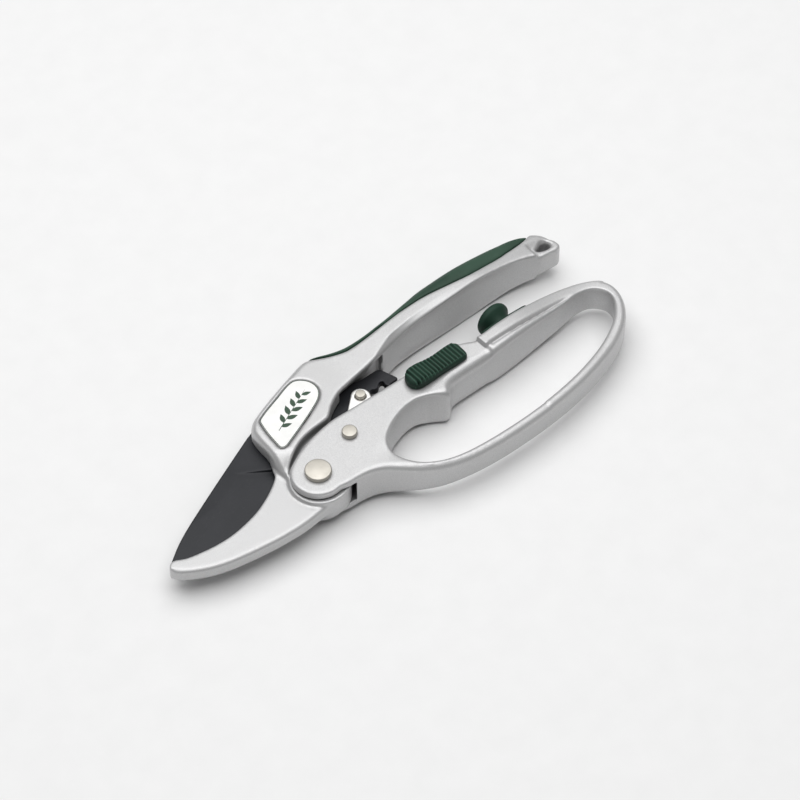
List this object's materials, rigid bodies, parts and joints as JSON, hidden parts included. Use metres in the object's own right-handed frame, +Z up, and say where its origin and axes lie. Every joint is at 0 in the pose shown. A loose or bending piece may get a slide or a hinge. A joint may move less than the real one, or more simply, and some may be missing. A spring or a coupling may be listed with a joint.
{
  "type": "ratchet anvil pruner",
  "caption": "One-hand ratchet pruner: a dark convex blade closes into a grooved hook-shaped jaw, with a silver grip handle, a closed finger-loop handle, a ratchet pawl and a thumb catch.",
  "frame": {"origin": "middle of the base of the whole tool, lying flat and closed on a surface", "axes": "+X along the tool towards the handle ends, the jaw at -X; +Y towards the upper handle with the badge; +Z up out of the badge side"},
  "size_m": [0.2048, 0.075, 0.0219],
  "materials": {
    "silver_paint": "cast, sprayed with a fine metallic silver paint",
    "coated_steel": "ground carbon steel with a dark non-stick coating",
    "bright_steel": "bright zinc-plated pressed steel",
    "nickel_plate": "nickel-plated steel, warm and satin",
    "spring_steel": "bare spring steel",
    "bearing_bronze": "oiled sintered bronze",
    "green_rubber": "dark green, matt, fine grained",
    "white_badge": "white, glossy, with a thin printed border"
  },
  "bodies": {
    "frame": {"upper_handle": "silver_paint", "grip_inlay": "green_rubber", "badge_plate": "white_badge", "blade_pivot_bolt": "nickel_plate", "blade_pivot_nut": "nickel_plate", "blade_washer_upper": "bearing_bronze", "blade_washer_lower": "bearing_bronze", "main_pivot_pin": "nickel_plate", "main_pivot_bush": "bearing_bronze", "opening_spring": "spring_steel"},
    "blade": {"blade": "coated_steel"},
    "lower_handle": {"lower_handle": "silver_paint", "handle_bumper": "green_rubber", "catch_detent_spring": "spring_steel", "pawl_rivet": "nickel_plate"},
    "pawl": {"pawl_cheek_upper": "bright_steel", "pawl_cheek_lower": "bright_steel", "pawl_sleeve": "spring_steel", "pawl_cross_pin": "nickel_plate", "pawl_spring": "spring_steel"},
    "catch": {"catch_plate": "bright_steel", "catch_thumb_pad": "green_rubber", "catch_rivet_front": "nickel_plate", "catch_rivet_rear": "nickel_plate"}
  },
  "joints": [
    {"name": "handle_hinge", "type": "hinge", "parent": "frame", "child": "lower_handle", "pos_m": [-0.0388, -0.00573, 0.0096], "axis": [0, 0, -1], "range_deg": [0, 38]},
    {"name": "blade_hinge", "type": "hinge", "parent": "frame", "child": "blade", "pos_m": [-0.0278, 0.02026, 0.0096], "axis": [0, 0, -1], "range_deg": [0, 24]},
    {"name": "pawl_hinge", "type": "hinge", "parent": "lower_handle", "child": "pawl", "pos_m": [-0.0189, 0.00036, 0.0096], "axis": [0, 0, 1], "range_deg": [0, 54]},
    {"name": "catch_slide", "type": "slide", "parent": "lower_handle", "child": "catch", "axis": [-1, 0, 0], "range_m": [0, 0.004]}
  ],
  "couplings": [
    {"joint": "blade_hinge", "follows": "handle_hinge", "ratio": 0.61},
    {"joint": "pawl_hinge", "follows": "handle_hinge", "ratio": 1.41}
  ]
}
